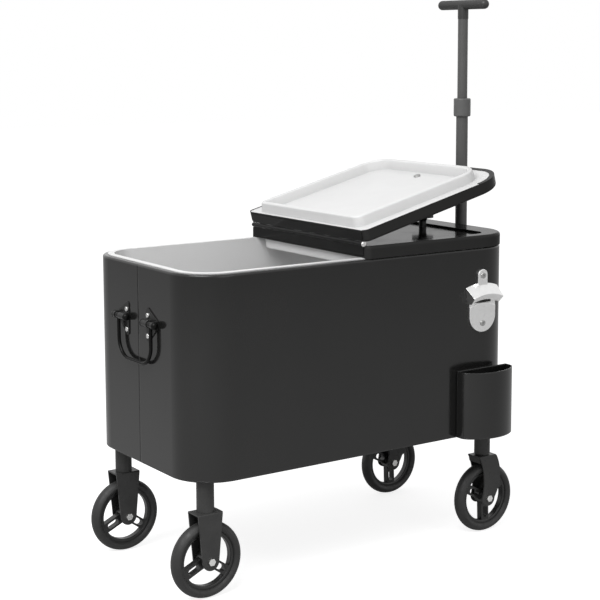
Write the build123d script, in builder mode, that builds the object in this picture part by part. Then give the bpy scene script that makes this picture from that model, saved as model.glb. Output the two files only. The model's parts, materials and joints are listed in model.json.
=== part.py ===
from build123d import *
import os
from math import asin, atan2, cos, degrees, hypot, radians, sin

os.makedirs("parts", exist_ok=True)

# The tub's shell: two half wraps of painted sheet, with lips turned in at the top and the bottom.
body_length = 788
body_width = 425
corner_radius = 86
body_bottom = 233
body_height = 393
sheet = 1.2
shoulder_radius = 4
top_lip = 16
bottom_lip = 8
seam_bevel = 0.9

# The base pan, the liner and the foam between liner and shell.
fit_gap = 0.2
base_drop = 8
wall_foam = 19.3
floor_foam = 30
liner_wall = 2.5
liner_floor_radius = 18
rim_setback = 10
rim_thickness = 2

# The lids: pans that overhang the tub a little, with a sunk panel in the top.
lid_overhang = 1
lid_near_radius = 11
lid_lift = 1
pan_height = 25.5
pan_edge_radius = 6
panel_near = 24
panel_far_border = 60
panel_side_border = 27
panel_radius = 30
panel_depth = 4.5
panel_lip_radius = 1.2
far_lip = 10
rim_side_gap = 1

# The white lid liner: a ledge over the tub's rim and a hollow plug that enters the tub, filled with foam.
lid_liner_wall = 2.5
ledge_gap = 0.3
plug_near = 9
plug_end_gap = 19
plug_side_gap = 7
plug_near_radius = 20
plug_far_radius = 58
plug_depth = 22
plug_draft = 8
plug_ring = 10
plug_groove_inset = 5.6
plug_groove_width = 5
plug_edge_radius = 4

# The knob on each lid; the open lid lies with its knob on the other one.
knob_end_inset = 83
knob_height = 46.6
knob_neck_radius = 8.2
knob_neck_height = 12
knob_head_radius = 23.5
knob_head_start = 21
knob_head_side = 9
knob_shoulder_radius = 19
knob_dome_radius = 40
knob_rest_gap = 0.3
knob_screw_radius = 3
knob_screw_head_radius = 7.5
knob_screw_head = 3.5
knob_screw_grip = 14
foam_hole_radius = 4

# The piano hinge between the lids.
hinge_end_inset = 11.5
knuckle_count = 15
knuckle_gap = 0.6
barrel_radius = 4.5
hinge_pin_radius = 2
hinge_rise = 3.5
leaf_thickness = 1.2
leaf_gap = 0.3
leaf_depth = 24
leaf_clear = 0.6
pin_head_radius = 5.5
pin_head = 3

# Clearances: a turning fit, and a hole for a fastener.
running = 0.05
hole_gap = 0.1
face_gap = 0.3

# The legs.
leg_end_inset = 48
leg_side_inset = 46.5
leg_radius = 17
leg_bore_radius = 14
leg_plug = 14
leg_flange_radius = 27
leg_flange = 3
leg_screw_reach = 22
leg_screws_each = 4
leg_screw_turn = 45

# The wheels.
wheel_radius = 75
tyre_half_width = 14.5
tyre_shoulder_radius = 66
tyre_side_radius = 60
tyre_side_half_width = 12.6
tyre_seat_radius = 57
tyre_seat_half_width = 9
rim_inner_radius = 51
rim_half_width = 8
rim_edge_radius = 2.5
spoke_count = 3
spoke_width = 20
spoke_root = 3
spoke_slot = 11.5
spoke_slot_start = 20
spoke_slot_end = 46
spoke_half_width = 7
hub_radius = 14
hub_half_width = 16
left_spoke_turn = 85
right_spoke_turn = 272

# The axles.
axle_radius = 4
axle_hex = 13
axle_head = 5
axle_nut = 6.5
axle_overhang = 2

# The forks: two cheeks under a web.
fork_sheet = 3
fork_half_gap = 17
fork_top = 169
fork_top_width = 54
fork_end_radius = 18
swivel_trail = 3
swivel_near_top = 26.6
swivel_far_top = 20.6
swivel_near_waist = 12
swivel_far_bulge = 32
swivel_waist_rise = 33
swivel_bulge_rise = 45
swivel_end_radius = 17
swivel_lip = 15

# The bolt that holds each fork to its leg, and the race between a swivel fork and its leg.
fork_bolt_radius = 5
fork_bolt_hex = 17
fork_bolt_head = 6.5
fork_bolt_grip = 10
race_radius = 15
race_thickness = 2.7
set_screw_rise = 26
set_screw_radius = 2.5
set_screw_length = 5
set_screw_sink = 0.8

# Small screws used on the walls and the legs.
screw_radius = 2.5
screw_head_radius = 5
screw_head = 2.6
screw_slot_width = 1.2
screw_slot_length = 5
screw_slot_depth = 1.2

# The bottle opener on the front wall: a tab, an arched hood over the mouth, and a plate below.
opener_end_inset = 96
opener_below_top = 44
opener_tab_width = 25.5
opener_plate_width = 70
opener_plate_drop = 70
opener_plate_height = 62
opener_plate = 5
opener_wall = 3.5
opener_edge_radius = 1.2
opener_screw_drop = 13
opener_screw_spread = 100
opener_screw_head_radius = 6.3
hood_drop = 29
hood_brow_drop = 20
hood_height = 33
hood_reach = 25.5
hood_lip_reach = 12.5
hood_lip = 1.6
hood_top_width = 88
hood_bottom_width = 73
hood_trim_height = 52
hood_mouth_width = 46
hood_arch_radius = 120
hood_edge_radius = 1.5

# The cap catcher under it, hung on two studs.
catcher_end_inset = 95
catcher_width = 134
catcher_lift = 1
catcher_height = 140
catcher_side = 22
catcher_bulge = 29
catcher_corner_radius = 24
catcher_sheet = 1.5
catcher_gap = 2
stud_spread = 80
stud_rise = 116
stud_radius = 2.5
stud_head_radius = 4.5
stud_head = 2.2
keyhole_drop = 12
keyhole_radius = 5.2

# The drop handle on the left end.
handle_plate = 2
handle_pivot_height = 518
handle_standoff = 9
handle_plate_near = 36
handle_plate_below = 37
handle_plate_above = 29
handle_plate_corner = 6
handle_plate_nose = 66
handle_plate_nose_radius = 14
handle_screw_y = 43
handle_screw_below = 26
handle_screw_above = 14
handle_barrel_radius = 7
handle_pin_radius = 3
inner_knuckle_end = 58
outer_knuckle_start = 72.5
outer_knuckle_end = 80
pin_ball_radius = 7.5
bail_limb = 65.2
bail_rod_radius = 3.7
bail_drop = 81
bail_corner_radius = 38
bail_eye_radius = 5.8
bail_eye_width = 13.6

# The telescopic pull handle on the right end.
pole_standoff = 28
pole_radius = 13
pole_wall = 1.5
pole_bottom = 400
pole_top = 908
collar_radius = 18.75
collar_overlap = 21
collar_height = 40
collar_edge_radius = 3
inner_pole_radius = 11
inner_pole_wall = 1.2
inner_pole_overlap = 128
grip_height = 1131.6
grip_radius = 10.5
grip_length = 160
grip_neck_radius = 11.7
grip_neck = 20
grip_socket = 14
clamp_low = 440
clamp_high = 580
clamp_height = 28
clamp_half_width = 32
clamp_plate = 4
clamp_neck = 20
clamp_ring_radius = 17.5
clamp_screw_y = 25
foot_thickness = 3
foot_spigot = 12

# The drain in the tub's floor.
drain_x = -250
drain_y = 110
drain_flange_radius = 20
drain_flange = 2.5
drain_radius = 11
drain_bore_radius = 8
drain_drop = 12
drain_cap_radius = 15
drain_cap_height = 10
drain_cap_plug = 14

body_top = body_bottom + body_height
end_face = body_length / 2
front_face = body_width / 2
base_face = body_bottom + base_drop
base_top = base_face + sheet
cavity_inset = sheet + wall_foam + liner_wall
liner_floor = base_top + floor_foam + liner_wall
rim_top = body_top + rim_thickness
leg_top = base_face - leg_flange
pole_x = end_face + pole_standoff
fork_half_width = fork_half_gap + fork_sheet
handle_x = -end_face - handle_standoff
handle_plate_low = handle_pivot_height - handle_plate_below
handle_plate_high = handle_pivot_height + handle_plate_above
handle_screw_low = handle_pivot_height - handle_screw_below
handle_screw_high = handle_pivot_height + handle_screw_above
bail_bottom = handle_pivot_height - bail_drop
collar_bottom = pole_top - collar_overlap
inner_pole_bottom = pole_top - inner_pole_overlap
leg_x = end_face - leg_end_inset
leg_y = front_face - leg_side_inset
set_screw_height = fork_top + set_screw_rise
hinge_length = 2 * (front_face - hinge_end_inset)
opener_x = end_face - opener_end_inset
opener_top = body_top - opener_below_top
opener_plate_top = opener_top - opener_plate_drop
opener_plate_bottom = opener_plate_top - opener_plate_height
opener_screw_high = opener_top - opener_screw_drop
opener_screw_low = opener_screw_high - opener_screw_spread
hood_top = opener_top - hood_drop
hood_axis = hood_top - hood_arch_radius
catcher_x = end_face - catcher_end_inset
catcher_bottom = body_bottom + catcher_lift
stud_height = catcher_bottom + stud_rise

# Heights on a lid, measured from the hinge axis.
pan_rim = -hinge_rise - pan_height
pan_top = -hinge_rise
panel_face = pan_top - panel_depth
lid_near = leaf_gap + leaf_thickness
lid_far = end_face + lid_overhang
lid_half_width = front_face + lid_overhang
lid_far_radius = corner_radius + lid_overhang
knob_reach = lid_far - knob_end_inset
plug_far = end_face - cavity_inset - plug_end_gap
plug_half_width = front_face - cavity_inset - plug_side_gap
hinge_z = body_top + lid_lift - pan_rim
ledge_face = rim_top + ledge_gap - hinge_z

# The open lid's angle follows from the two knobs touching.
dome_height = panel_face + knob_height - knob_dome_radius
half_rest = atan2(dome_height, knob_reach)
half_rest += asin((knob_dome_radius + knob_rest_gap / 2) / hypot(knob_reach, dome_height))
rest = 2 * half_rest
print(f"open lid rests {degrees(rest):.3f} degrees from the other one")

right_plane = Plane(origin=(0, 0, hinge_z), x_dir=(1, 0, 0), z_dir=(0, 0, 1))
left_plane = Plane(origin=(0, 0, hinge_z), x_dir=(cos(rest), 0, sin(rest)), z_dir=(sin(rest), 0, -cos(rest)))
front_plane = Plane.XZ.offset(front_face)
left_end_plane = Plane.YZ.offset(-end_face)
right_end_plane = Plane.YZ.offset(end_face)

opener_screw_points = [(opener_x, opener_screw_low), (opener_x, opener_screw_high)]
stud_points = [(catcher_x - stud_spread / 2, stud_height), (catcher_x + stud_spread / 2, stud_height)]
handle_screw_points = []
for y in (-handle_screw_y, handle_screw_y):
    for z in (handle_screw_low, handle_screw_high):
        handle_screw_points.append((y, z))
clamp_screw_points = []
for y in (-clamp_screw_y, clamp_screw_y):
    for z in (clamp_low, clamp_high):
        clamp_screw_points.append((y, z))
corners = {
    "front_left": (-leg_x, -leg_y),
    "rear_left": (-leg_x, leg_y),
    "front_right": (leg_x, -leg_y),
    "rear_right": (leg_x, leg_y),
}
leg_screw_points = []
for x, y in corners.values():
    for turn in range(leg_screws_each):
        angle = radians(leg_screw_turn + turn * 360 / leg_screws_each)
        leg_screw_points.append((x + leg_screw_reach * cos(angle), y + leg_screw_reach * sin(angle)))


def save(part, name):
    part.label = name
    export_step(part, f"parts/{name}.step")


def tub_outline(inset):
    RectangleRounded(body_length - 2 * inset, body_width - 2 * inset, corner_radius - inset)


def lid_outline(sketch, inset):
    with Locations(((lid_near + lid_far) / 2, 0)):
        Rectangle(lid_far - lid_near - 2 * inset, 2 * (lid_half_width - inset))
    fillet(sketch.vertices().sort_by(Axis.X)[-2:], lid_far_radius - inset)
    fillet(sketch.vertices().sort_by(Axis.X)[:2], lid_near_radius - inset)


def plug_outline(inset, mode=Mode.ADD):
    """The plug's outline, with tight corners at the hinge and wide ones at the tub's end."""
    middle = Pos((plug_near + plug_far) / 2, 0)
    length = plug_far - plug_near - 2 * inset
    outline = (middle * Rectangle(length, 2 * (plug_half_width - inset), mode=Mode.PRIVATE)).face()
    outline = outline.fillet_2d(plug_near_radius - inset, outline.vertices().sort_by(Axis.X)[:2])
    outline = outline.fillet_2d(plug_far_radius - inset, outline.vertices().sort_by(Axis.X)[-2:])
    add(outline, mode=mode)


def screw_set(name, plane, points, length, head_radius=screw_head_radius):
    """Cross-slotted screws whose heads stand on the plane and whose shanks go behind it."""
    outward = Axis(plane.origin, plane.z_dir)
    with BuildPart() as screws:
        with BuildSketch(plane):
            with Locations(*points):
                Circle(head_radius)
        extrude(amount=screw_head)
        fillet(screws.faces().group_by(outward)[-1].edges(), screw_head / 2)
        with BuildSketch(plane.offset(screw_head)):
            with Locations(*points):
                Rectangle(screw_slot_width, screw_slot_length)
                Rectangle(screw_slot_length, screw_slot_width)
        extrude(amount=-screw_slot_depth, mode=Mode.SUBTRACT)
        with BuildSketch(plane):
            with Locations(*points):
                Circle(screw_radius)
        extrude(amount=-length)
    save(screws.part, name)


# The whole wrap, before it is parted at the seams.
with BuildPart() as wrap:
    with BuildSketch(Plane.XY.offset(body_bottom)):
        tub_outline(0)
    extrude(amount=body_height)
    fillet(wrap.faces().sort_by(Axis.Z)[-1].edges(), shoulder_radius)
    with BuildSketch(Plane.XY.offset(body_bottom + sheet)):
        tub_outline(sheet)
    extrude(amount=body_height - 2 * sheet, mode=Mode.SUBTRACT)
    with BuildSketch(Plane.XY.offset(body_bottom)):
        tub_outline(bottom_lip)
    extrude(amount=sheet, mode=Mode.SUBTRACT)
    ceiling = wrap.faces().filter_by(Plane.XY).group_by(Axis.Z)[-2][0]
    fillet(ceiling.outer_wire().edges(), shoulder_radius - sheet)
    with BuildSketch(Plane.XY.offset(body_top - sheet)):
        tub_outline(top_lip)
    extrude(amount=sheet, mode=Mode.SUBTRACT)
    with BuildSketch(Plane.XY.offset(body_bottom)):
        with Locations((-end_face, 0), (end_face, 0)):
            RegularPolygon(seam_bevel, 4)
    extrude(amount=body_height, mode=Mode.SUBTRACT)
    with BuildSketch(front_plane):
        with Locations(*opener_screw_points, *stud_points):
            Circle(screw_radius + hole_gap)
    extrude(amount=2 * sheet, both=True, mode=Mode.SUBTRACT)
    with BuildSketch(left_end_plane):
        with Locations(*handle_screw_points):
            Circle(screw_radius + hole_gap)
    extrude(amount=2 * sheet, both=True, mode=Mode.SUBTRACT)
    with BuildSketch(right_end_plane):
        with Locations(*clamp_screw_points):
            Circle(screw_radius + hole_gap)
    extrude(amount=2 * sheet, both=True, mode=Mode.SUBTRACT)

for name, side in (("shell_front", Keep.TOP), ("shell_rear", Keep.BOTTOM)):
    with BuildPart() as shell_half:
        add(wrap.part)
        split(bisect_by=Plane.XZ, keep=side)
    save(shell_half.part, name)

# The base pan stands on the shell's bottom lip.
with BuildPart() as base_pan:
    with BuildSketch(Plane.XY.offset(body_bottom + sheet)):
        tub_outline(sheet + fit_gap)
    extrude(amount=base_top - body_bottom - sheet)
    with BuildSketch(Plane.XY.offset(body_bottom + sheet)):
        tub_outline(2 * sheet + fit_gap)
    extrude(amount=base_face - body_bottom - sheet, mode=Mode.SUBTRACT)
    with BuildSketch(Plane.XY.offset(base_face)):
        with Locations(*leg_screw_points):
            Circle(screw_radius + hole_gap)
        with Locations((drain_x, drain_y)):
            Circle(drain_radius + hole_gap)
    extrude(amount=sheet, mode=Mode.SUBTRACT)
save(base_pan.part, "base_pan")

# The liner: a tub whose rim lies on the shell's top lip.
with BuildPart() as liner:
    with BuildSketch(Plane.XY.offset(liner_floor - liner_wall)):
        tub_outline(cavity_inset - liner_wall)
    extrude(amount=rim_top - liner_floor + liner_wall)
    with BuildSketch(Plane.XY.offset(body_top)):
        tub_outline(rim_setback)
    extrude(amount=rim_thickness)
    with BuildSketch(Plane.XY.offset(liner_floor)):
        tub_outline(cavity_inset)
    extrude(amount=rim_top - liner_floor, mode=Mode.SUBTRACT)
    inside_floor = liner.faces().filter_by(Plane.XY).group_by(Axis.Z)[1][0]
    fillet(inside_floor.edges(), liner_floor_radius)
    fillet(liner.faces().sort_by(Axis.Z)[0].edges(), liner_floor_radius + liner_wall)
    with BuildSketch(Plane.XY.offset(liner_floor)):
        with Locations((drain_x, drain_y)):
            Circle(drain_radius + hole_gap)
    extrude(amount=-liner_wall, mode=Mode.SUBTRACT)
save(liner.part, "liner")

# The foam fills the space between the shell, the base pan and the liner.
with BuildPart() as insulation:
    with BuildSketch(Plane.XY.offset(base_top)):
        tub_outline(sheet + fit_gap)
    extrude(amount=body_top - sheet - fit_gap - base_top)
    fillet(insulation.faces().sort_by(Axis.Z)[-1].edges(), shoulder_radius - sheet)
    with BuildSketch(Plane.XY.offset(liner_floor - liner_wall - fit_gap)):
        tub_outline(cavity_inset - liner_wall - fit_gap)
    extrude(amount=body_height, mode=Mode.SUBTRACT)
    with BuildSketch(Plane.XY.offset(base_top)):
        with Locations((drain_x, drain_y)):
            Circle(drain_radius + hole_gap)
        with Locations(*leg_screw_points):
            Circle(screw_head_radius)
    extrude(amount=floor_foam, mode=Mode.SUBTRACT)
save(insulation.part, "insulation")


def build_lid(side, plane, knuckle_start):
    """One lid with its liner, foam, knob, knob screw and hinge leaf."""
    up = Axis(plane.origin, plane.z_dir)
    panel_length = lid_far - panel_far_border - panel_near
    panel_width = 2 * (lid_half_width - panel_side_border)
    panel_middle = panel_near + panel_length / 2
    with BuildPart() as pan:
        with BuildSketch(plane.offset(pan_rim)) as outline:
            lid_outline(outline, 0)
        extrude(amount=pan_height)
        fillet(pan.faces().sort_by(up)[-1].edges(), pan_edge_radius)
        with BuildSketch(plane.offset(pan_rim)) as outline:
            lid_outline(outline, sheet)
        extrude(amount=panel_face - sheet - pan_rim, mode=Mode.SUBTRACT)
        with BuildSketch(plane.offset(panel_face - sheet)) as outline:
            lid_outline(outline, pan_edge_radius)
            with Locations((panel_middle, 0)):
                RectangleRounded(
                    panel_length + 2 * sheet,
                    panel_width + 2 * sheet,
                    panel_radius + sheet,
                    mode=Mode.SUBTRACT,
                )
        extrude(amount=panel_depth, mode=Mode.SUBTRACT)
        with BuildSketch(plane.offset(pan_top)):
            with Locations((panel_middle, 0)):
                RectangleRounded(panel_length, panel_width, panel_radius)
        extrude(amount=-panel_depth, mode=Mode.SUBTRACT)
        border = pan.faces().sort_by(up)[-1]
        fillet(border.inner_wires()[0].edges(), panel_lip_radius)
        with BuildSketch(plane.offset(pan_rim)) as outline:
            lid_outline(outline, sheet / 2)
            offset(amount=-far_lip, mode=Mode.SUBTRACT)
            with Locations((lid_far, 0)):
                Rectangle(2 * lid_far_radius, 2 * lid_half_width, mode=Mode.INTERSECT)
        extrude(amount=sheet)
        with BuildSketch(plane.offset(pan_rim)):
            Rectangle(2 * (lid_near + lid_near_radius), 2 * (front_face - rim_setback + rim_side_gap))
        extrude(amount=ledge_face - pan_rim, mode=Mode.SUBTRACT)
        with BuildSketch(plane.offset(panel_face)):
            with Locations((knob_reach, 0)):
                Circle(knob_screw_radius + hole_gap)
        extrude(amount=-2 * sheet, mode=Mode.SUBTRACT)
    save(pan.part, f"{side}_lid_pan")

    with BuildPart() as lid_liner:
        with BuildSketch(plane.offset(ledge_face)) as outline:
            lid_outline(outline, sheet + fit_gap)
        extrude(amount=lid_liner_wall)
        with BuildSketch(plane.offset(ledge_face)):
            plug_outline(0)
        extrude(amount=plug_depth, dir=-plane.z_dir, taper=plug_draft)
        plug_foot = lid_liner.faces().sort_by(up)[0]
        with BuildSketch(plane.offset(ledge_face - plug_depth)):
            add(plane.offset(ledge_face - plug_depth).to_local_coords(plug_foot))
            offset(amount=-plug_ring, mode=Mode.REPLACE)
        extrude(amount=plug_depth, taper=plug_draft, mode=Mode.SUBTRACT)
        fillet(lid_liner.faces().sort_by(up)[0].edges(), plug_edge_radius)
        with BuildSketch(plane.offset(ledge_face + lid_liner_wall)):
            plug_outline(plug_groove_inset)
            plug_outline(plug_groove_inset + plug_groove_width, Mode.SUBTRACT)
        extrude(amount=-plug_depth, mode=Mode.SUBTRACT)
        with BuildSketch(plane.offset(ledge_face)):
            with Locations((knob_reach, 0)):
                Circle(knob_screw_radius + hole_gap)
        extrude(amount=lid_liner_wall, mode=Mode.SUBTRACT)
    save(lid_liner.part, f"{side}_lid_liner")

    foam_bottom = ledge_face + lid_liner_wall + fit_gap
    with BuildPart() as foam:
        with BuildSketch(plane.offset(foam_bottom)) as outline:
            lid_outline(outline, sheet + fit_gap)
        extrude(amount=panel_face - sheet - fit_gap - foam_bottom)
        with BuildSketch(plane.offset(foam_bottom)):
            plug_outline(plug_groove_inset + fit_gap)
            plug_outline(plug_groove_inset + plug_groove_width - fit_gap, Mode.SUBTRACT)
        extrude(amount=-plug_depth)
        with BuildSketch(plane.offset(foam_bottom)):
            with Locations((knob_reach, 0)):
                Circle(foam_hole_radius)
        extrude(amount=pan_height, mode=Mode.SUBTRACT)
    save(foam.part, f"{side}_lid_foam")

    knob_foot = plane.from_local_coords((knob_reach, 0, panel_face))
    knob_plane = Plane(origin=knob_foot, x_dir=plane.x_dir, z_dir=-plane.y_dir)
    shoulder_drop = knob_dome_radius - (knob_dome_radius**2 - knob_shoulder_radius**2) ** 0.5
    half_drop = knob_dome_radius - (knob_dome_radius**2 - (knob_shoulder_radius / 2) ** 2) ** 0.5
    head_side_top = knob_head_start + knob_head_side
    shoulder_height = knob_height - shoulder_drop
    with BuildPart() as knob:
        with BuildSketch(knob_plane):
            with BuildLine():
                Polyline(
                    (0, knob_height),
                    (0, 0),
                    (knob_neck_radius, 0),
                    (knob_neck_radius, knob_neck_height),
                )
                TangentArc(
                    (knob_neck_radius, knob_neck_height), (knob_head_radius, knob_head_start), tangent=(0, 1)
                )
                Line((knob_head_radius, knob_head_start), (knob_head_radius, head_side_top))
                TangentArc(
                    (knob_head_radius, head_side_top), (knob_shoulder_radius, shoulder_height), tangent=(0, 1)
                )
                ThreePointArc(
                    (knob_shoulder_radius, shoulder_height),
                    (knob_shoulder_radius / 2, knob_height - half_drop),
                    (0, knob_height),
                )
            make_face()
        revolve(axis=Axis(knob_foot, plane.z_dir))
        with BuildSketch(plane.offset(panel_face)):
            with Locations((knob_reach, 0)):
                Circle(knob_screw_radius + running)
        extrude(amount=knob_screw_grip + face_gap, mode=Mode.SUBTRACT)
    save(knob.part, f"{side}_lid_knob")

    with BuildPart() as knob_screw:
        with BuildSketch(plane.offset(ledge_face)):
            with Locations((knob_reach, 0)):
                Circle(knob_screw_head_radius)
        extrude(amount=-knob_screw_head)
        fillet(knob_screw.faces().sort_by(up)[0].edges(), knob_screw_head / 2)
        with BuildSketch(plane.offset(ledge_face - knob_screw_head)):
            with Locations((knob_reach, 0)):
                Rectangle(screw_slot_width, screw_slot_length)
                Rectangle(screw_slot_length, screw_slot_width)
        extrude(amount=screw_slot_depth, mode=Mode.SUBTRACT)
        with BuildSketch(plane.offset(ledge_face)):
            with Locations((knob_reach, 0)):
                Circle(knob_screw_radius)
        extrude(amount=panel_face - ledge_face + knob_screw_grip)
    save(knob_screw.part, f"{side}_lid_screw")

    pitch = hinge_length / knuckle_count
    leaf_top = barrel_radius + leaf_clear
    along = Plane(
        origin=plane.from_local_coords((0, -hinge_length / 2, 0)), x_dir=plane.x_dir, z_dir=plane.y_dir
    )
    with BuildPart() as leaf:
        with BuildSketch(along):
            with Locations((leaf_gap + leaf_thickness / 2, (leaf_top + leaf_depth) / 2)):
                Rectangle(leaf_thickness, leaf_depth - leaf_top)
        extrude(amount=hinge_length)
        for number in range(knuckle_start, knuckle_count, 2):
            with BuildSketch(along.offset(number * pitch + knuckle_gap / 2)):
                Circle(barrel_radius)
                with Locations((leaf_gap + leaf_thickness / 2, leaf_top / 2)):
                    Rectangle(leaf_thickness, leaf_top)
                Circle(hinge_pin_radius + running, mode=Mode.SUBTRACT)
            extrude(amount=pitch - knuckle_gap)
    save(leaf.part, f"hinge_leaf_{side}")


build_lid("right", right_plane, 0)
build_lid("left", left_plane, 1)

with BuildPart() as hinge_pin:
    with BuildSketch(Plane.XZ.offset(hinge_length / 2)):
        with Locations((0, hinge_z)):
            Circle(hinge_pin_radius)
    extrude(amount=-hinge_length)
    with BuildSketch(Plane.XZ.offset(hinge_length / 2)):
        with Locations((0, hinge_z)):
            Circle(pin_head_radius)
    extrude(amount=pin_head)
    fillet(hinge_pin.faces().sort_by(Axis.Y)[0].edges(), pin_head / 2)
save(hinge_pin.part, "hinge_pin")


def build_leg(name, x, y, bottom, has_set_screw):
    with BuildPart() as leg:
        with BuildSketch(Plane.XY.offset(bottom)):
            with Locations((x, y)):
                Circle(leg_radius)
        extrude(amount=base_face - bottom)
        with BuildSketch(Plane.XY.offset(leg_top)):
            with Locations((x, y)):
                Circle(leg_flange_radius)
        extrude(amount=leg_flange)
        with BuildSketch(Plane.XY.offset(bottom + leg_plug)):
            with Locations((x, y)):
                Circle(leg_bore_radius)
        extrude(amount=base_face - bottom - leg_plug, mode=Mode.SUBTRACT)
        with BuildSketch(Plane.XY.offset(bottom)):
            with Locations((x, y)):
                Circle(fork_bolt_radius + running)
        extrude(amount=leg_plug, mode=Mode.SUBTRACT)
        with BuildSketch(Plane.XY.offset(leg_top)):
            with Locations((x, y)):
                with PolarLocations(leg_screw_reach, leg_screws_each, start_angle=leg_screw_turn):
                    Circle(screw_radius + hole_gap)
        extrude(amount=leg_flange, mode=Mode.SUBTRACT)
        if has_set_screw:
            with BuildSketch(Plane.XZ.offset(-y + leg_radius)):
                with Locations((x, set_screw_height)):
                    Circle(set_screw_radius + running)
            extrude(amount=leg_bore_radius - leg_radius - set_screw_length, mode=Mode.SUBTRACT)
    save(leg.part, name)


def build_wheel(name, x, y, turn):
    axis = Axis((x, y, wheel_radius), (0, 1, 0))
    section = Plane(origin=(x, y, wheel_radius), x_dir=(1, 0, 0), z_dir=(0, 0, 1))
    face = Plane(origin=(x, y, wheel_radius), x_dir=(1, 0, 0), z_dir=(0, -1, 0))
    with BuildPart() as tyre:
        with BuildSketch(section):
            with BuildLine():
                Line((tyre_seat_radius, -tyre_seat_half_width), (tyre_seat_radius, tyre_seat_half_width))
                ThreePointArc(
                    (tyre_seat_radius, tyre_seat_half_width),
                    (tyre_side_radius, tyre_side_half_width),
                    (tyre_shoulder_radius, tyre_half_width),
                )
                ThreePointArc(
                    (tyre_shoulder_radius, tyre_half_width),
                    (wheel_radius, 0),
                    (tyre_shoulder_radius, -tyre_half_width),
                )
                ThreePointArc(
                    (tyre_shoulder_radius, -tyre_half_width),
                    (tyre_side_radius, -tyre_side_half_width),
                    (tyre_seat_radius, -tyre_seat_half_width),
                )
            make_face()
        revolve(axis=axis)
    save(tyre.part, f"tyre_{name}")
    with BuildPart() as rim:
        with BuildSketch(face):
            Circle(tyre_seat_radius - running)
            Circle(rim_inner_radius, mode=Mode.SUBTRACT)
        extrude(amount=rim_half_width, both=True)
        fillet(rim.edges().filter_by(GeomType.CIRCLE).group_by(SortBy.RADIUS)[0], rim_edge_radius)
        with BuildSketch(face):
            Circle(hub_radius)
            with PolarLocations(rim_inner_radius / 2, spoke_count, start_angle=turn):
                Rectangle(rim_inner_radius + 2 * spoke_root, spoke_width)
            with PolarLocations((spoke_slot_start + spoke_slot_end) / 2, spoke_count, start_angle=turn):
                SlotOverall(spoke_slot_end - spoke_slot_start, spoke_slot, mode=Mode.SUBTRACT)
        extrude(amount=spoke_half_width, both=True)
        with BuildSketch(face):
            Circle(hub_radius)
        extrude(amount=hub_half_width, both=True)
        with BuildSketch(face):
            Circle(axle_radius + running)
        extrude(amount=hub_half_width, both=True, mode=Mode.SUBTRACT)
    save(rim.part, f"wheel_{name}")


def build_axles(name, places):
    """Axle bolts with the head at the front and a nut at the rear."""
    with BuildPart() as axles:
        for x, y in places:
            front = Plane.XZ.offset(fork_half_width - y)
            rear = Plane.XZ.offset(-fork_half_width - y)
            with BuildSketch(front):
                with Locations((x, wheel_radius)):
                    RegularPolygon(axle_hex / 2, 6, major_radius=False)
            extrude(amount=axle_head)
            with BuildSketch(front):
                with Locations((x, wheel_radius)):
                    Circle(axle_radius)
            extrude(amount=-2 * fork_half_width - axle_nut - axle_overhang)
            with BuildSketch(rear):
                with Locations((x, wheel_radius)):
                    RegularPolygon(axle_hex / 2, 6, major_radius=False)
            extrude(amount=-axle_nut)
    save(axles.part, name)


def build_rigid_fork(name, x, y):
    half_top = fork_top_width / 2
    with BuildPart() as fork:
        with BuildSketch(Plane.XZ.offset(-y)):
            with Locations((x, wheel_radius)):
                Circle(fork_end_radius)
            with BuildLine():
                Polyline(
                    (x - fork_end_radius, wheel_radius),
                    (x + fork_end_radius, wheel_radius),
                    (x + half_top, fork_top),
                    (x - half_top, fork_top),
                    close=True,
                )
            make_face()
        extrude(amount=fork_half_width, both=True)
        fillet(fork.edges().filter_by(Axis.X).group_by(Axis.Z)[-1], fork_sheet)
        with BuildSketch(Plane.XZ.offset(-y)):
            with Locations((x, (fork_top - fork_sheet) / 2)):
                Rectangle(2 * fork_top_width, fork_top - fork_sheet)
        extrude(amount=fork_half_gap, both=True, mode=Mode.SUBTRACT)
        with BuildSketch(Plane.XY.offset(fork_top)):
            with Locations((x, y)):
                Circle(fork_bolt_radius + running)
        extrude(amount=-fork_sheet, mode=Mode.SUBTRACT)
        with BuildSketch(Plane.XZ.offset(-y)):
            with Locations((x, wheel_radius)):
                Circle(axle_radius + running)
        extrude(amount=fork_half_width, both=True, mode=Mode.SUBTRACT)
    save(fork.part, name)


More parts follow.
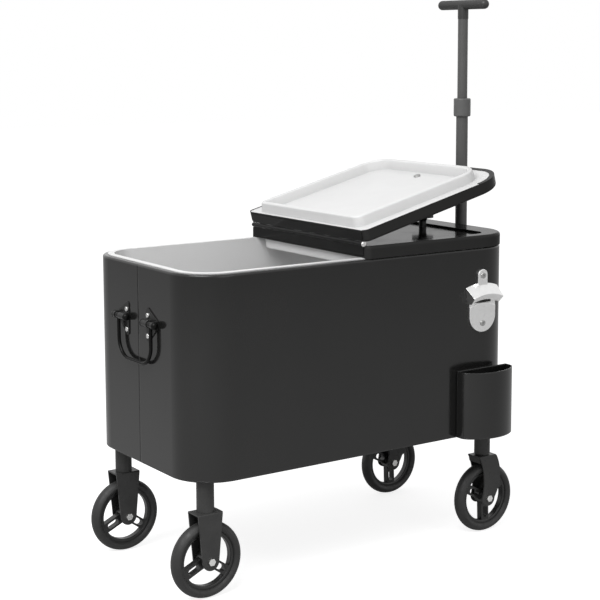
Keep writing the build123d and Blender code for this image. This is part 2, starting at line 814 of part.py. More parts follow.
def build_swivel_fork(name, x, y):
    """A fork swept in the middle, with a lip turned down from the near side of its web."""
    axle_x = x + swivel_trail
    near_top = axle_x - swivel_near_top
    far_top = axle_x + swivel_far_top
    near_end = axle_x - swivel_end_radius
    far_end = axle_x + swivel_end_radius
    waist_height = wheel_radius + swivel_waist_rise
    bulge_height = wheel_radius + swivel_bulge_rise
    with BuildPart() as fork:
        with BuildSketch(Plane.XZ.offset(-y)):
            with BuildLine():
                Line((near_top, fork_top), (far_top, fork_top))
                ThreePointArc(
                    (far_top, fork_top), (axle_x + swivel_far_bulge, bulge_height), (far_end, wheel_radius)
                )
                ThreePointArc(
                    (far_end, wheel_radius),
                    (axle_x, wheel_radius - swivel_end_radius),
                    (near_end, wheel_radius),
                )
                ThreePointArc(
                    (near_end, wheel_radius), (axle_x - swivel_near_waist, waist_height), (near_top, fork_top)
                )
            make_face()
        extrude(amount=fork_half_width, both=True)
        fillet(fork.edges().filter_by(Axis.X).group_by(Axis.Z)[-1], fork_sheet)
        with BuildSketch(Plane.XZ.offset(-y)):
            with Locations((x, (fork_top - fork_sheet) / 2)):
                Rectangle(2 * fork_top_width, fork_top - fork_sheet)
        extrude(amount=fork_half_gap, both=True, mode=Mode.SUBTRACT)
        with BuildSketch(Plane.XZ.offset(-y)):
            with BuildLine():
                Polyline(
                    (near_top, fork_top),
                    (near_top + fork_sheet, fork_top),
                    (near_top + 2 * fork_sheet, fork_top - swivel_lip),
                    (near_top + fork_sheet, fork_top - swivel_lip),
                    close=True,
                )
            make_face()
        extrude(amount=fork_half_gap, both=True)
        with BuildSketch(Plane.XY.offset(fork_top)):
            with Locations((x, y)):
                Circle(fork_bolt_radius + running)
        extrude(amount=-fork_sheet, mode=Mode.SUBTRACT)
        with BuildSketch(Plane.XZ.offset(-y)):
            with Locations((axle_x, wheel_radius)):
                Circle(axle_radius + running)
        extrude(amount=fork_half_width, both=True, mode=Mode.SUBTRACT)
    save(fork.part, name)


swivel_leg_bottom = fork_top + face_gap + race_thickness
for corner, (x, y) in corners.items():
    swivels = x > 0
    build_leg(f"leg_{corner}", x, y, swivel_leg_bottom if swivels else fork_top, swivels)
    wheel_x = x + swivel_trail if swivels else x
    build_wheel(corner, wheel_x, y, right_spoke_turn if swivels else left_spoke_turn)
    if swivels:
        build_swivel_fork(f"fork_{corner}", x, y)
        build_axles(f"axle_{corner}", [(wheel_x, y)])
    else:
        build_rigid_fork(f"fork_{corner}", x, y)
build_axles("axles_left", [(-leg_x, -leg_y), (-leg_x, leg_y)])

with BuildPart() as fork_bolts:
    for x, y in corners.values():
        drop = face_gap if x > 0 else 0
        head_top = fork_top - fork_sheet - drop
        leg_bottom = swivel_leg_bottom if x > 0 else fork_top
        with BuildSketch(Plane.XY.offset(head_top - fork_bolt_head)):
            with Locations((x, y)):
                RegularPolygon(fork_bolt_hex / 2, 6, major_radius=False)
        extrude(amount=fork_bolt_head)
        with BuildSketch(Plane.XY.offset(head_top)):
            with Locations((x, y)):
                Circle(fork_bolt_radius)
        extrude(amount=leg_bottom + fork_bolt_grip - head_top)
save(fork_bolts.part, "fork_bolts")

with BuildPart() as swivel_races:
    with BuildSketch(Plane.XY.offset(fork_top + face_gap)):
        with Locations((leg_x, -leg_y), (leg_x, leg_y)):
            Circle(race_radius)
            Circle(fork_bolt_radius + hole_gap, mode=Mode.SUBTRACT)
    extrude(amount=race_thickness)
save(swivel_races.part, "swivel_races")

with BuildPart() as set_screws:
    for y in (-leg_y, leg_y):
        with BuildSketch(Plane.XZ.offset(-y + leg_radius - set_screw_sink)):
            with Locations((leg_x, set_screw_height)):
                Circle(set_screw_radius)
        extrude(amount=-set_screw_length)
save(set_screws.part, "set_screws")

leg_screw_plane = Plane(origin=(0, 0, leg_top), x_dir=(1, 0, 0), z_dir=(0, 0, -1))
screw_set("leg_screws", leg_screw_plane, [(x, -y) for x, y in leg_screw_points], leg_flange + sheet)

# The opener's hood in side view, from the wall out to the brow and back to the lip.
hood_profile = [
    (-front_face, hood_top),
    (-front_face - hood_reach, hood_top - hood_brow_drop),
    (-front_face - hood_lip_reach, hood_top - hood_height),
    (-front_face, hood_top - hood_height),
]

# The hood is bent to an arch as seen from the front, and its ends slant.
with BuildPart() as hood:
    with BuildSketch(Plane.YZ.offset(opener_x)):
        with BuildLine():
            Polyline(*hood_profile, close=True)
        make_face()
    revolve(axis=Axis((opener_x, 0, hood_axis), (0, 1, 0)))
    with BuildSketch(front_plane):
        with BuildLine():
            trim_top = hood_top + opener_wall
            Polyline(
                (opener_x - hood_top_width / 2, trim_top),
                (opener_x + hood_top_width / 2, trim_top),
                (opener_x + hood_bottom_width / 2, trim_top - hood_trim_height),
                (opener_x - hood_bottom_width / 2, trim_top - hood_trim_height),
                close=True,
            )
        make_face()
    extrude(amount=2 * hood_reach, mode=Mode.INTERSECT)
    fillet(hood.edges().sort_by(Axis.Y)[0], hood_edge_radius)

with BuildPart() as opener:
    round_height = opener_plate_bottom + opener_plate_width / 2
    with BuildSketch(front_plane):
        with Locations((opener_x, round_height)):
            Circle(opener_plate_width / 2)
            Rectangle(
                opener_plate_width,
                opener_plate_top - round_height,
                align=(Align.CENTER, Align.MIN),
            )
        with Locations((opener_x, hood_axis)):
            Circle(opener_plate_top - hood_axis, mode=Mode.INTERSECT)
        with Locations((opener_x, opener_top - opener_tab_width / 2)):
            Circle(opener_tab_width / 2)
            Rectangle(opener_tab_width, hood_drop, align=(Align.CENTER, Align.MAX))
    extrude(amount=opener_plate)
    fillet(opener.faces().group_by(Axis.Y)[0].edges(), opener_edge_radius)
    with BuildSketch(front_plane):
        with Locations((opener_x, round_height)):
            Rectangle(
                opener_plate_width,
                hood_top - hood_brow_drop - round_height,
                align=(Align.CENTER, Align.MIN),
            )
    extrude(amount=opener_wall)
    add(hood.part)
    with BuildSketch(Plane.YZ.offset(opener_x)):
        with BuildLine():
            Polyline(*hood_profile, close=True)
        make_face()
        offset(amount=-opener_wall, mode=Mode.REPLACE)
        with Locations((-front_face, opener_plate_top)):
            Rectangle(
                hood_lip_reach - hood_lip,
                hood_top - hood_brow_drop - opener_plate_top,
                align=(Align.MAX, Align.MIN),
            )
    extrude(amount=hood_mouth_width / 2, both=True, mode=Mode.SUBTRACT)
    with BuildSketch(front_plane):
        with Locations(*opener_screw_points):
            Circle(screw_radius + hole_gap)
    extrude(amount=opener_plate, mode=Mode.SUBTRACT)
save(opener.part, "bottle_opener")
opener_screw_plane = front_plane.offset(opener_plate)
opener_screw_length = opener_plate + sheet
screw_set(
    "opener_screws",
    opener_screw_plane,
    opener_screw_points,
    opener_screw_length,
    opener_screw_head_radius,
)

# The cap catcher: a flat back, short sides and a bowed front, open at the top.
with BuildPart() as catcher:
    left = catcher_x - catcher_width / 2
    right = catcher_x + catcher_width / 2
    back = -front_face - catcher_gap
    with BuildSketch(Plane.XY.offset(catcher_bottom)) as bin_outline:
        with BuildLine():
            Polyline((left, back - catcher_side), (left, back), (right, back), (right, back - catcher_side))
            ThreePointArc(
                (right, back - catcher_side),
                (catcher_x, back - catcher_side - catcher_bulge),
                (left, back - catcher_side),
            )
        make_face()
        fillet(bin_outline.vertices().group_by(Axis.Y)[0], catcher_corner_radius)
    extrude(amount=catcher_height)
    with BuildSketch(Plane.XY.offset(catcher_bottom + catcher_sheet)):
        add(bin_outline.sketch_local)
        offset(amount=-catcher_sheet, mode=Mode.REPLACE)
    extrude(amount=catcher_height, mode=Mode.SUBTRACT)
    with BuildSketch(front_plane.offset(catcher_gap)):
        with Locations(*stud_points):
            Circle(stud_radius + face_gap)
        for x, z in stud_points:
            with Locations((x, z - keyhole_drop / 2)):
                Rectangle(2 * (stud_radius + face_gap), keyhole_drop)
            with Locations((x, z - keyhole_drop)):
                Circle(keyhole_radius)
    extrude(amount=catcher_sheet, mode=Mode.SUBTRACT)
save(catcher.part, "cap_catcher")

stud_neck = catcher_gap + catcher_sheet + face_gap
with BuildPart() as studs:
    with BuildSketch(front_plane.offset(stud_neck)):
        with Locations(*stud_points):
            Circle(stud_head_radius)
    extrude(amount=stud_head)
    fillet(studs.faces().group_by(Axis.Y)[0].edges(), stud_head / 2)
    with BuildSketch(front_plane.offset(stud_neck)):
        with Locations(*stud_points):
            Circle(stud_radius)
    extrude(amount=-stud_neck - sheet)
save(studs.part, "catcher_studs")


def build_bracket(name, side):
    """A wall plate with two knuckles for the pivot pin."""
    inner = handle_plate_near
    with BuildPart() as bracket:
        with BuildSketch(left_end_plane):
            with BuildSketch(mode=Mode.PRIVATE) as rounds:
                corner_y = side * (inner + handle_plate_corner)
                with Locations(
                    (corner_y, handle_plate_low + handle_plate_corner),
                    (corner_y, handle_plate_high - handle_plate_corner),
                ):
                    Circle(handle_plate_corner)
                with Locations((side * handle_plate_nose, handle_pivot_height)):
                    Circle(handle_plate_nose_radius)
            make_hull(rounds.sketch.edges())
        extrude(amount=-handle_plate)
        for low, high in ((inner, inner_knuckle_end), (outer_knuckle_start, outer_knuckle_end)):
            with BuildSketch(Plane.XZ.offset(-side * low)):
                with Locations((handle_x, handle_pivot_height)):
                    Circle(handle_barrel_radius)
                with Locations(((handle_x - end_face) / 2, handle_pivot_height)):
                    Rectangle(handle_standoff, 2 * handle_barrel_radius)
            extrude(amount=side * (low - high))
        with BuildSketch(Plane.XZ.offset(-side * inner)):
            with Locations((handle_x, handle_pivot_height)):
                Circle(handle_pin_radius + running)
        extrude(amount=side * (inner - outer_knuckle_end), mode=Mode.SUBTRACT)
        with BuildSketch(left_end_plane):
            for z in (handle_screw_low, handle_screw_high):
                with Locations((side * handle_screw_y, z)):
                    Circle(screw_radius + hole_gap)
        extrude(amount=-handle_plate, mode=Mode.SUBTRACT)
    save(bracket.part, name)


build_bracket("handle_bracket_front", -1)
build_bracket("handle_bracket_rear", 1)
outside_left = Plane(origin=(-end_face - handle_plate, 0, 0), x_dir=(0, -1, 0), z_dir=(-1, 0, 0))
screw_set("handle_screws", outside_left, [(-y, z) for y, z in handle_screw_points], handle_plate + sheet)

# The pivot pins have a ball at each end.
with BuildPart() as handle_pins:
    for side in (-1, 1):
        with BuildSketch(Plane.XZ.offset(-side * handle_plate_near)):
            with Locations((handle_x, handle_pivot_height)):
                Circle(handle_pin_radius)
        extrude(amount=side * (handle_plate_near - outer_knuckle_end))
        for y, turn in ((handle_plate_near, -side), (outer_knuckle_end, side)):
            with BuildSketch(Plane.XY.offset(handle_pivot_height)):
                with Locations((handle_x, side * y)):
                    Circle(pin_ball_radius)
                    with Locations((0, -turn * pin_ball_radius)):
                        Rectangle(2 * pin_ball_radius, 2 * pin_ball_radius, mode=Mode.SUBTRACT)
                    with Locations((-pin_ball_radius, 0)):
                        Rectangle(2 * pin_ball_radius, 2 * pin_ball_radius, mode=Mode.SUBTRACT)
            revolve(axis=Axis((handle_x, 0, handle_pivot_height), (0, 1, 0)))
save(handle_pins.part, "handle_pins")

with BuildPart() as bail:
    with BuildLine(Plane.YZ.offset(handle_x)) as bail_path:
        FilletPolyline(
            (bail_limb, handle_pivot_height - bail_rod_radius),
            (bail_limb, bail_bottom),
            (-bail_limb, bail_bottom),
            (-bail_limb, handle_pivot_height - bail_rod_radius),
            radius=bail_corner_radius,
        )
    with BuildSketch(Plane(origin=bail_path.wire() @ 0, z_dir=bail_path.wire() % 0)):
        Circle(bail_rod_radius)
    sweep(path=bail_path.wire())
    for side in (-1, 1):
        with BuildSketch(Plane.XZ.offset(-side * bail_limb)):
            with Locations((handle_x, handle_pivot_height)):
                Circle(bail_eye_radius)
        extrude(amount=bail_eye_width / 2, both=True)
        with BuildSketch(Plane.XZ.offset(-side * bail_limb)):
            with Locations((handle_x, handle_pivot_height)):
                Circle(handle_pin_radius + running)
        extrude(amount=bail_eye_width / 2, both=True, mode=Mode.SUBTRACT)
save(bail.part, "handle_bail")

# The pull handle: an outer tube clamped to the right end, and an inner tube with the grip.
with BuildPart() as pole_tube:
    with BuildSketch(Plane.XY.offset(pole_bottom)):
        with Locations((pole_x, 0)):
            Circle(pole_radius)
            Circle(pole_radius - pole_wall, mode=Mode.SUBTRACT)
    extrude(amount=pole_top - pole_bottom)
save(pole_tube.part, "pole_tube")

with BuildPart() as pole_foot:
    with BuildSketch(Plane.XY.offset(pole_bottom)):
        with Locations((pole_x, 0)):
            Circle(pole_radius)
    extrude(amount=-foot_thickness)
    with BuildSketch(Plane.XY.offset(pole_bottom)):
        with Locations((pole_x, 0)):
            Circle(pole_radius - pole_wall - running)
    extrude(amount=foot_spigot)
save(pole_foot.part, "pole_foot")

with BuildPart() as collar:
    with BuildSketch(Plane.XY.offset(collar_bottom)):
        with Locations((pole_x, 0)):
            Circle(collar_radius)
    extrude(amount=collar_height)
    fillet(collar.edges().group_by(Axis.Z)[-1], collar_edge_radius)
    fillet(collar.edges().group_by(Axis.Z)[0], collar_edge_radius)
    with BuildSketch(Plane.XY.offset(collar_bottom)):
        with Locations((pole_x, 0)):
            Circle(inner_pole_radius + running)
    extrude(amount=collar_height, mode=Mode.SUBTRACT)
    with BuildSketch(Plane.XY.offset(collar_bottom)):
        with Locations((pole_x, 0)):
            Circle(pole_radius + running)
    extrude(amount=pole_top - collar_bottom, mode=Mode.SUBTRACT)
save(collar.part, "pole_collar")

with BuildPart() as clamps:
    for z in (clamp_low, clamp_high):
        with BuildSketch(Plane.XY.offset(z - clamp_height / 2)):
            with Locations((pole_x, 0)):
                Circle(clamp_ring_radius)
            with Locations((end_face, 0)):
                Rectangle(clamp_plate, 2 * clamp_half_width, align=(Align.MIN, Align.CENTER))
                Rectangle(pole_standoff, clamp_neck, align=(Align.MIN, Align.CENTER))
            with Locations((pole_x, 0)):
                Circle(pole_radius + running, mode=Mode.SUBTRACT)
        extrude(amount=clamp_height)
    with BuildSketch(right_end_plane):
        with Locations(*clamp_screw_points):
            Circle(screw_radius + hole_gap)
    extrude(amount=clamp_plate, mode=Mode.SUBTRACT)
save(clamps.part, "pole_clamps")
screw_set("clamp_screws", right_end_plane.offset(clamp_plate), clamp_screw_points, clamp_plate + sheet)

grip_neck_bottom = grip_height - grip_radius - grip_neck
with BuildPart() as inner_tube:
    with BuildSketch(Plane.XY.offset(inner_pole_bottom)):
        with Locations((pole_x, 0)):
            Circle(inner_pole_radius)
            Circle(inner_pole_radius - inner_pole_wall, mode=Mode.SUBTRACT)
    extrude(amount=grip_neck_bottom + grip_socket - inner_pole_bottom)
save(inner_tube.part, "pole_inner")

with BuildPart() as grip:
    with BuildSketch(Plane.YZ.offset(pole_x)):
        with Locations((0, grip_height)):
            SlotOverall(grip_length, 2 * grip_radius)
        with Locations((0, grip_height - grip_radius / 2)):
            Rectangle(grip_length, grip_radius, mode=Mode.SUBTRACT)
    revolve(axis=Axis((pole_x, 0, grip_height), (0, 1, 0)))
    with BuildSketch(Plane.XY.offset(grip_neck_bottom)):
        with Locations((pole_x, 0)):
            Circle(grip_neck_radius)
    extrude(amount=grip_height - grip_neck_bottom)
    with BuildSketch(Plane.XY.offset(grip_neck_bottom)):
        with Locations((pole_x, 0)):
            Circle(inner_pole_radius + running)
    extrude(amount=grip_socket, mode=Mode.SUBTRACT)
save(grip.part, "pull_grip")

# The drain: a flanged spout through the floor, closed by a cap from below.
spout_bottom = body_bottom - drain_drop
with BuildPart() as spout:
    with BuildSketch(Plane.XY.offset(spout_bottom)):
        with Locations((drain_x, drain_y)):
            Circle(drain_radius)
    extrude(amount=liner_floor - spout_bottom)
    with BuildSketch(Plane.XY.offset(liner_floor)):
        with Locations((drain_x, drain_y)):
            Circle(drain_flange_radius)
    extrude(amount=drain_flange)
    with BuildSketch(Plane.XY.offset(spout_bottom)):
        with Locations((drain_x, drain_y)):
            Circle(drain_bore_radius)
    extrude(amount=liner_floor + drain_flange - spout_bottom, mode=Mode.SUBTRACT)
save(spout.part, "drain_spout")

cap_top = spout_bottom - face_gap
with BuildPart() as drain_cap:
    with BuildSketch(Plane.XY.offset(cap_top - drain_cap_height)):
        with Locations((drain_x, drain_y)):
            Circle(drain_cap_radius)
    extrude(amount=drain_cap_height)
    with BuildSketch(Plane.XY.offset(cap_top)):
        with Locations((drain_x, drain_y)):
            Circle(drain_bore_radius - running)
    extrude(amount=drain_cap_plug)
save(drain_cap.part, "drain_cap")
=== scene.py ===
import json
from math import cos, radians, sin

import bpy
from mathutils import Matrix, Vector

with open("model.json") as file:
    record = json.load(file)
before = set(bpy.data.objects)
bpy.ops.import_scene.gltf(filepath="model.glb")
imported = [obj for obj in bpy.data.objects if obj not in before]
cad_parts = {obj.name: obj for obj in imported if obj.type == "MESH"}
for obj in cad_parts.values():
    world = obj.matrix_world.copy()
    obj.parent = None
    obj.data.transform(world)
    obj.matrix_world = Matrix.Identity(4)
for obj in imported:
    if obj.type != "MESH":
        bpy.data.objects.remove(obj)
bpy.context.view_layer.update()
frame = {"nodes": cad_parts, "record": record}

scene = bpy.context.scene
scene.view_settings.view_transform = "Standard"

# The noises behind clouds of tone, chips on edges, smears of gloss and grain. Scales are per metre.
cloud_noise = dict(Detail=5.0, Roughness=0.6)
chip_noise = dict(Scale=220.0, Detail=3.0)
smear_noise = dict(Detail=4.0)
grain_noise = dict(Detail=2.0)

# Where most of a noise lies, how far an edge has to turn to be rubbed, and how open a corner has to be
# to get no painted shade.
noise_span = dict(From_Min=0.3, From_Max=0.7)
edge_span = dict(From_Min=0.995, From_Max=0.8)
corner_span = dict(From_Min=0.45, From_Max=0.95)
undercoat_tone = 0.004
edge_samples = 4
round_samples = 6
corner_samples = 8

# The floor's size and tone, and the white that is added to it in view and in reflections.
floor_size = 30.0
floor_tone = 0.62
floor_white_seen = 0.80
floor_white_mirrored = 0.12

# The light that the surround sheds, and its white in view and in reflections.
fill_level = 0.40
surround_level = 1.0
white = (1.0, 1.0, 1.0, 1.0)

# Both lamps point at the tub.
lamp_aim = Vector((0.0, 0.0, 0.5))

# The photograph's camera: focal length and principal point in pixels, then its place and turn.
image_size = 600.0
focal_pixels = 1481.0
principal_height = 228.0
sensor_width = 36.0
camera_place = Vector((-1.728245, -2.515364, 1.044815))
camera_yaw = radians(-34.278)
camera_pitch = radians(7.04)
camera_roll = radians(-0.176)


def node(tree, kind, **values):
    """Adds a shader node and sets its plain settings and its sockets by name."""
    made = tree.nodes.new(kind)
    for key, value in values.items():
        if hasattr(made, key):
            setattr(made, key, value)
        else:
            made.inputs[key.replace("_", " ")].default_value = value
    return made


def blank_material(name):
    """A material that holds nothing but its output."""
    material = bpy.data.materials.new(name)
    material.use_nodes = True
    tree = material.node_tree
    tree.nodes.clear()
    output = tree.nodes.new("ShaderNodeOutputMaterial")
    return material, tree, output


def noise(tree, place, **values):
    made = node(tree, "ShaderNodeTexNoise", **values)
    tree.links.new(place, made.inputs["Vector"])
    return made.outputs["Fac"]


def remap(tree, value, span, low, high):
    """Stretches a value from its span to a new low and high."""
    made = node(tree, "ShaderNodeMapRange", To_Min=low, To_Max=high, **span)
    tree.links.new(value, made.inputs["Value"])
    return made.outputs["Result"]


def product(tree, first, second):
    made = node(tree, "ShaderNodeMath", operation="MULTIPLY")
    tree.links.new(first, made.inputs[0])
    tree.links.new(second, made.inputs[1])
    return made.outputs["Value"]


def painted_corner_shade(tree, shade, reach):
    """Painted shade: 1 in the open, and less in inner corners, where less light reaches."""
    corners = node(
        tree, "ShaderNodeAmbientOcclusion", samples=corner_samples, only_local=True, Distance=reach
    )
    return remap(tree, corners.outputs["AO"], corner_span, 1.0 - shade, 1.0)


def mottled_colour(tree, place, colour, mottle, mottle_scale, corner_shade, corner_reach):
    """The colour in soft clouds, and darker in inner corners with painted shade."""
    cloud = noise(tree, place, Scale=mottle_scale, **cloud_noise)
    tone = remap(tree, cloud, noise_span, 1.0 - mottle, 1.0 + mottle)
    # Painted shade: the colour is darkened where the part's own faces close in around a point.
    if corner_shade:
        tone = product(tree, tone, painted_corner_shade(tree, corner_shade, corner_reach))
    toned = node(tree, "ShaderNodeVectorMath", operation="SCALE")
    toned.inputs[0].default_value = colour
    tree.links.new(tone, toned.inputs["Scale"])
    return toned.outputs["Vector"]


def rubbed_edges(tree, place, plain, colour, edge_radius, edge_tone, edge_share):
    """The plain colour, with paler chips along the edges."""
    rounded = node(tree, "ShaderNodeBevel", samples=edge_samples, Radius=edge_radius)
    flat = node(tree, "ShaderNodeNewGeometry")
    likeness = node(tree, "ShaderNodeVectorMath", operation="DOT_PRODUCT")
    tree.links.new(rounded.outputs["Normal"], likeness.inputs[0])
    tree.links.new(flat.outputs["Normal"], likeness.inputs[1])
    edge = remap(tree, likeness.outputs["Value"], edge_span, 0.0, edge_share)
    worn = product(tree, edge, noise(tree, place, **chip_noise))
    rubbed = node(tree, "ShaderNodeMix", data_type="VECTOR")
    rubbed.inputs[5].default_value = [min(1.0, part * edge_tone + undercoat_tone) for part in colour]
    tree.links.new(worn, rubbed.inputs[0])
    tree.links.new(plain, rubbed.inputs[4])
    return rubbed.outputs[1]


def grained_normal(tree, place, round_radius, grain_scale, grain_depth):
    """The way the surface faces, rounded at its edges and roughened by a fine grain."""
    rounded = node(tree, "ShaderNodeBevel", samples=round_samples, Radius=round_radius)
    bump = node(tree, "ShaderNodeBump", Strength=1.0, Distance=grain_depth)
    tree.links.new(noise(tree, place, Scale=grain_scale, **grain_noise), bump.inputs["Height"])
    tree.links.new(rounded.outputs["Normal"], bump.inputs["Normal"])
    return bump.outputs["Normal"]


def finish(
    name,
    colour,
    roughness,
    metallic=0.0,
    specular=0.5,
    mottle=0.12,
    mottle_scale=14.0,
    rough_spread=0.05,
    rough_scale=60.0,
    grain_scale=900.0,
    grain_depth=0.00004,
    edge_radius=0.0007,
    edge_tone=1.6,
    edge_share=0.5,
    round_radius=0.0007,
    corner_shade=0.0,
    corner_reach=0.03,
):
    """A surface with uneven tone, uneven gloss, a fine grain, paler rubbed edges and, where corner_shade
    is given, painted shade in its inner corners.
    """
    material, tree, output = blank_material(name)
    place = node(tree, "ShaderNodeTexCoord").outputs["Object"]
    plain = mottled_colour(tree, place, colour, mottle, mottle_scale, corner_shade, corner_reach)
    smears = noise(tree, place, Scale=rough_scale, **smear_noise)
    uneven = {
        "Base Color": rubbed_edges(tree, place, plain, colour, edge_radius, edge_tone, edge_share),
        "Roughness": remap(tree, smears, noise_span, roughness - rough_spread, roughness + rough_spread),
        "Normal": grained_normal(tree, place, round_radius, grain_scale, grain_depth),
    }
    shader = node(tree, "ShaderNodeBsdfPrincipled", Metallic=metallic, Specular_IOR_Level=specular)
    for socket, value in uneven.items():
        tree.links.new(value, shader.inputs[socket])
    tree.links.new(shader.outputs["BSDF"], output.inputs["Surface"])
    return material


# What the finishes of one kind have in common.
gloss_paint = dict(
    mottle=0.10, mottle_scale=9.0, rough_spread=0.03, rough_scale=22.0, grain_scale=420.0,
    grain_depth=0.000004
)
broad_gloss_paint = dict(gloss_paint, mottle=0.06, mottle_scale=7.0, rough_spread=0.04)
satin_paint = dict(
    mottle_scale=30.0, rough_spread=0.06, rough_scale=70.0, grain_scale=1400.0, grain_depth=0.00001
)
white_moulding = dict(
    mottle=0.015, mottle_scale=12.0, rough_scale=30.0, grain_scale=800.0, grain_depth=0.00001,
    edge_tone=1.02, edge_share=0.3
)
dark_moulding = dict(mottle_scale=40.0, rough_scale=90.0, grain_scale=1800.0)
turned_steel = dict(rough_spread=0.08, rough_scale=260.0, grain_scale=2200.0, grain_depth=0.00001)
bare_steel = dict(turned_steel, metallic=1.0, mottle=0.06, mottle_scale=120.0, edge_tone=1.15)

# Where corner_shade is given, inner corners are darkened in the colour as painted shade.
slot_finishes = {
    "charcoal_paint": finish(
        "charcoal_gloss_paint", (0.0080, 0.0080, 0.0078), roughness=0.12, specular=0.15, edge_tone=2.0,
        **gloss_paint
    ),
    "black_paint": finish(
        "black_satin_paint", (0.0190, 0.0190, 0.0187), roughness=0.26, specular=0.18, mottle=0.14,
        edge_tone=2.0, **satin_paint
    ),
    "white_plastic": finish(
        "white_moulded_plastic", (0.74, 0.74, 0.74), roughness=0.36, corner_shade=0.21, **white_moulding
    ),
    "foam": finish(
        "cream_foam", (0.62, 0.56, 0.40), roughness=0.85, mottle_scale=160.0, grain_scale=520.0,
        grain_depth=0.0004, edge_tone=1.1
    ),
    "black_plastic": finish(
        "black_moulded_plastic", (0.012, 0.012, 0.0118), roughness=0.33, rough_spread=0.07,
        grain_depth=0.00003, edge_tone=1.9, corner_shade=0.35, corner_reach=0.012, **dark_moulding
    ),
    "tyre_rubber": finish(
        "tyre_rubber", (0.017, 0.017, 0.0168), roughness=0.55, mottle=0.18, mottle_scale=45.0,
        rough_spread=0.08, rough_scale=120.0, grain_scale=1600.0, grain_depth=0.00006, edge_tone=1.5
    ),
    "soft_rubber": finish(
        "soft_black_rubber", (0.02, 0.02, 0.02), roughness=0.62, mottle=0.15, mottle_scale=60.0,
        grain_scale=1500.0, grain_depth=0.00005, edge_tone=1.4
    ),
    "bright_steel": finish("bright_steel", (0.78, 0.78, 0.77), roughness=0.26, **bare_steel),
    "black_steel": finish(
        "black_oxide_steel", (0.014, 0.014, 0.014), roughness=0.35, mottle=0.15, mottle_scale=160.0,
        edge_tone=2.5, **turned_steel
    ),
    "cast_opener": finish(
        "satin_cast_metal", (0.82, 0.82, 0.817), roughness=0.32, metallic=1.0, mottle=0.03,
        mottle_scale=70.0, rough_scale=180.0, grain_scale=1500.0, edge_tone=1.2
    ),
}

# Walls and lids have broad clouds of tone, and the lids shine the least.
# Painted shade: walls, catcher and lids are darkened in their inner corners by corner_shade.
shell_paint = finish(
    "charcoal_gloss_wall_paint", (0.0128, 0.0128, 0.0125), roughness=0.13, specular=0.43, edge_tone=1.8,
    round_radius=0.004, corner_shade=0.5, corner_reach=0.05, **broad_gloss_paint
)
lid_paint = finish(
    "charcoal_gloss_lid_paint", (0.0300, 0.0300, 0.0295), roughness=0.13, specular=0.015,
    corner_shade=0.35, corner_reach=0.012, **broad_gloss_paint
)
hinge_paint = finish(
    "charcoal_hinge_paint", (0.0050, 0.0050, 0.0049), roughness=0.16, specular=0.15, edge_radius=0.0002,
    edge_tone=1.2, **gloss_paint
)
# Painted light: the liner is paler than the other white plastic to make up for the shade inside the tub.
shade_lifted_liner_plastic = finish("white_liner_plastic", (0.78, 0.78, 0.78), roughness=0.36, **white_moulding)

# The bail is the deepest black, and the legs and forks are greyer; the legs partly as painted light,
# lifted to make up for the shadow the tub casts on them.
bail_paint = finish(
    "deep_black_paint", (0.0050, 0.0050, 0.0049), roughness=0.24, specular=0.10, edge_tone=2.2,
    **satin_paint
)
# Painted light: the legs' colour is raised to offset the shade under the tub.
shade_lifted_leg_paint = finish(
    "black_leg_paint", (0.0600, 0.0600, 0.0593), roughness=0.28, specular=0.10, edge_tone=2.2,
    **satin_paint
)
# Painted shade: the forks' inner faces are darkened in the colour by corner_shade.
fork_paint = finish(
    "black_fork_paint", (0.0490, 0.0490, 0.0485), roughness=0.30, specular=0.20, edge_tone=1.7,
    corner_shade=0.6, corner_reach=0.04, **satin_paint
)

# The pole has a dull powder coat, and its collar and grip are duller than the knobs.
pole_coat = finish(
    "grey_powder_coat", (0.080, 0.080, 0.079), roughness=0.46, specular=0.4, mottle=0.06,
    mottle_scale=30.0, rough_spread=0.06, rough_scale=90.0, grain_scale=1700.0, grain_depth=0.00003,
    edge_tone=1.5
)
collar_plastic = finish(
    "dull_collar_plastic", (0.098, 0.098, 0.097), roughness=0.44, specular=0.4, mottle=0.08,
    rough_spread=0.06, grain_depth=0.00003, edge_tone=1.5, **dark_moulding
)
grip_plastic = finish(
    "dull_grip_plastic", (0.030, 0.030, 0.0295), roughness=0.46, specular=0.4, mottle=0.10,
    rough_spread=0.07, **dark_moulding
)
dull_steel = finish("dull_steel", (0.40, 0.40, 0.395), roughness=0.32, **bare_steel)

# These nodes differ from the finish of their slot.
wheel_corners = ["front_left", "rear_left", "front_right", "rear_right"]
nodes_by_finish = [
    (shell_paint, ["shell_front", "shell_rear", "cap_catcher"]),
    (lid_paint, ["left_lid_pan", "right_lid_pan"]),
    (hinge_paint, ["hinge_leaf_left", "hinge_leaf_right"]),
    (shade_lifted_liner_plastic, ["liner"]),
    (bail_paint, ["handle_bail", "handle_pins"]),
    (shade_lifted_leg_paint, [f"leg_{corner}" for corner in wheel_corners]),
    (fork_paint, [f"fork_{corner}" for corner in wheel_corners]),
    (pole_coat, ["pole_tube", "pole_inner"]),
    (collar_plastic, ["pole_collar"]),
    (grip_plastic, ["pull_grip"]),
    (dull_steel, ["opener_screws", "left_lid_screw", "right_lid_screw"]),
]
own_finishes = {name: material for material, names in nodes_by_finish for name in names}

for part in frame["record"]["subparts"]:
    slots = frame["nodes"][part["node"]].data.materials
    slots.clear()
    slots.append(own_finishes.get(part["node"], slot_finishes[part["material_slot"]]))


def any_ray(tree, *kinds):
    """1 for a ray of one of these kinds, and 0 for any other."""
    path = node(tree, "ShaderNodeLightPath")
    found = path.outputs[kinds[0]]
    for kind in kinds[1:]:
        either = node(tree, "ShaderNodeMath", operation="MAXIMUM")
        tree.links.new(found, either.inputs[0])
        tree.links.new(path.outputs[kind], either.inputs[1])
        found = either.outputs["Value"]
    return found


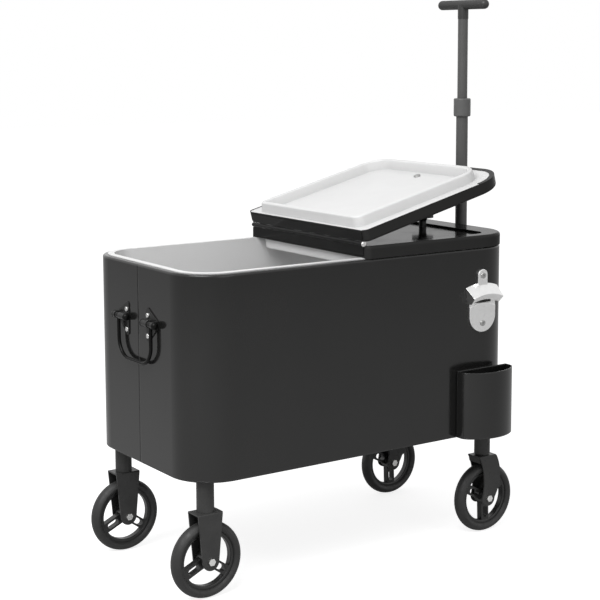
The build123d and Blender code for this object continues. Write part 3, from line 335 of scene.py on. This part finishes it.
def floor_material():
    """Keeps a faint shadow, and is as white as the background where nothing shades it."""
    material, tree, output = blank_material("pale_floor")
    matt = node(tree, "ShaderNodeBsdfDiffuse", Color=(floor_tone, floor_tone, floor_tone, 1.0))
    glow = node(tree, "ShaderNodeEmission", Color=white)
    seen = node(tree, "ShaderNodeMath", operation="MULTIPLY")
    seen.inputs[1].default_value = floor_white_seen
    strength = node(tree, "ShaderNodeMath", operation="MULTIPLY_ADD")
    strength.inputs[1].default_value = floor_white_mirrored
    both = node(tree, "ShaderNodeAddShader")
    tree.links.new(any_ray(tree, "Is Camera Ray", "Is Transmission Ray"), seen.inputs[0])
    tree.links.new(any_ray(tree, "Is Glossy Ray"), strength.inputs[0])
    tree.links.new(seen.outputs["Value"], strength.inputs[2])
    tree.links.new(strength.outputs["Value"], glow.inputs["Strength"])
    tree.links.new(matt.outputs["BSDF"], both.inputs[0])
    tree.links.new(glow.outputs["Emission"], both.inputs[1])
    tree.links.new(both.outputs["Shader"], output.inputs["Surface"])
    return material


def make_floor():
    half = floor_size / 2
    corners = [(-half, -half, 0), (half, -half, 0), (half, half, 0), (-half, half, 0)]
    mesh = bpy.data.meshes.new("floor")
    mesh.from_pydata(corners, [], [(0, 1, 2, 3)])
    mesh.materials.append(floor_material())
    floor = bpy.data.objects.new("floor", mesh)
    scene.collection.objects.link(floor)


def make_surround():
    """White in view and in reflections, and a plain level of fill light."""
    world = bpy.data.worlds.new("studio")
    scene.world = world
    world.use_nodes = True
    tree = world.node_tree
    tree.nodes.clear()
    output = tree.nodes.new("ShaderNodeOutputWorld")
    fill = node(tree, "ShaderNodeBackground", Color=white, Strength=fill_level)
    shown = node(tree, "ShaderNodeBackground", Color=white, Strength=surround_level)
    choose = node(tree, "ShaderNodeMixShader")
    seen = any_ray(tree, "Is Camera Ray", "Is Glossy Ray", "Is Transmission Ray")
    tree.links.new(seen, choose.inputs[0])
    tree.links.new(fill.outputs["Background"], choose.inputs[1])
    tree.links.new(shown.outputs["Background"], choose.inputs[2])
    tree.links.new(choose.outputs["Shader"], output.inputs["Surface"])


def soft_box(name, place, side, watts):
    """A square lamp that points at the tub."""
    lamp = bpy.data.lights.new(name, "AREA")
    lamp.shape = "SQUARE"
    lamp.size = side
    lamp.energy = watts
    made = bpy.data.objects.new(name, lamp)
    made.location = place
    made.rotation_euler = (lamp_aim - Vector(place)).to_track_quat("-Z", "Y").to_euler()
    scene.collection.objects.link(made)


def photo_camera():
    """The camera that sees the cart as the photograph does."""
    data = bpy.data.cameras.new("camera")
    data.sensor_fit = "HORIZONTAL"
    data.sensor_width = sensor_width
    data.lens = focal_pixels * sensor_width / image_size
    data.shift_y = (principal_height - image_size / 2) / image_size
    ahead = cos(camera_pitch)
    forward = Vector((-sin(camera_yaw) * ahead, cos(camera_yaw) * ahead, -sin(camera_pitch)))
    level_right = Vector((cos(camera_yaw), sin(camera_yaw), 0.0))
    level_up = level_right.cross(forward)
    right = level_right * cos(camera_roll) + level_up * sin(camera_roll)
    up = level_up * cos(camera_roll) - level_right * sin(camera_roll)
    turn = Matrix((right, up, -forward)).transposed()
    camera = bpy.data.objects.new("camera", data)
    camera.matrix_world = Matrix.Translation(camera_place) @ turn.to_4x4()
    scene.collection.objects.link(camera)
    return camera


make_floor()
make_surround()
soft_box("key_light", place=(-2.0, -1.0, 3.2), side=2.4, watts=112.0)
soft_box("front_light", place=(0.8, -3.6, 2.2), side=2.0, watts=13.0)
scene.camera = photo_camera()
